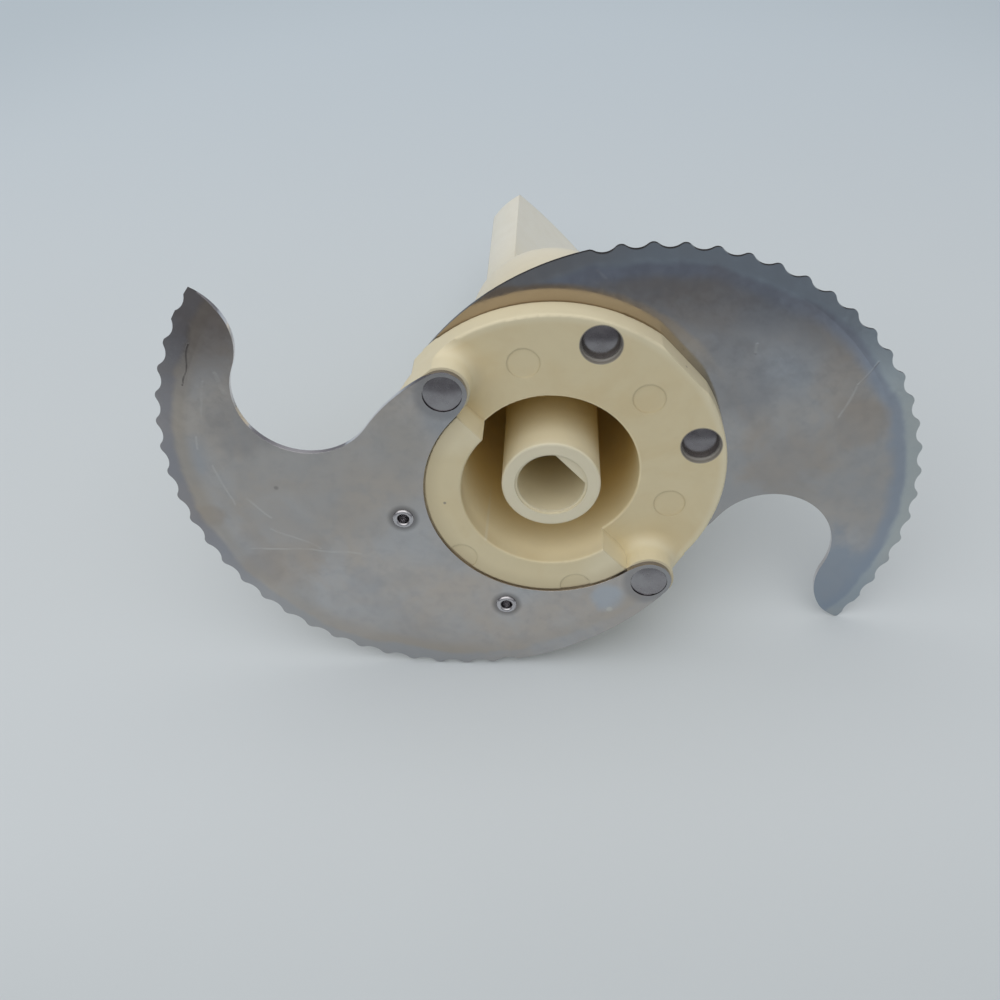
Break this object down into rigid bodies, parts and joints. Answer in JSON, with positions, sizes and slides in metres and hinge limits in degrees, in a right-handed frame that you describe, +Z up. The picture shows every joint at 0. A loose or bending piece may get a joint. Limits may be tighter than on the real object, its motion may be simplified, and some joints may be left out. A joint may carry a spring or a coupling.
{
  "type": "food processor blade",
  "caption": "Serrated hooked steel blades riveted to a stepped moulded hub, with a D-bored drive sleeve inside and a tall stem that ends in a flat-sided finger grip.",
  "frame": {"origin": "on the drive axis, level with the underside of the lower blade", "axes": "+Z up the drive axis towards the finger grip, +X from the axis through an ear rivet, +Y towards the flat of the bore"},
  "size_m": [0.1618, 0.1376, 0.1255],
  "materials": {
    "hub_plastic": "aged ivory moulding with a soft gloss, beige on the flange and paler on the stem",
    "sleeve_plastic": "paler, greyer ivory moulding with a soft gloss",
    "blade_steel": "satin stainless sheet with faint stains, scuffs and a brighter ground edge",
    "rivet_steel": "plain steel, dull from use"
  },
  "bodies": {
    "root": {"hub": "hub_plastic", "drive_sleeve": "sleeve_plastic", "lower_blade": "blade_steel", "upper_blade": "blade_steel", "ear_rivets": "rivet_steel", "lower_blade_rivets": "rivet_steel", "upper_blade_rivets": "rivet_steel"}
  },
  "joints": []
}
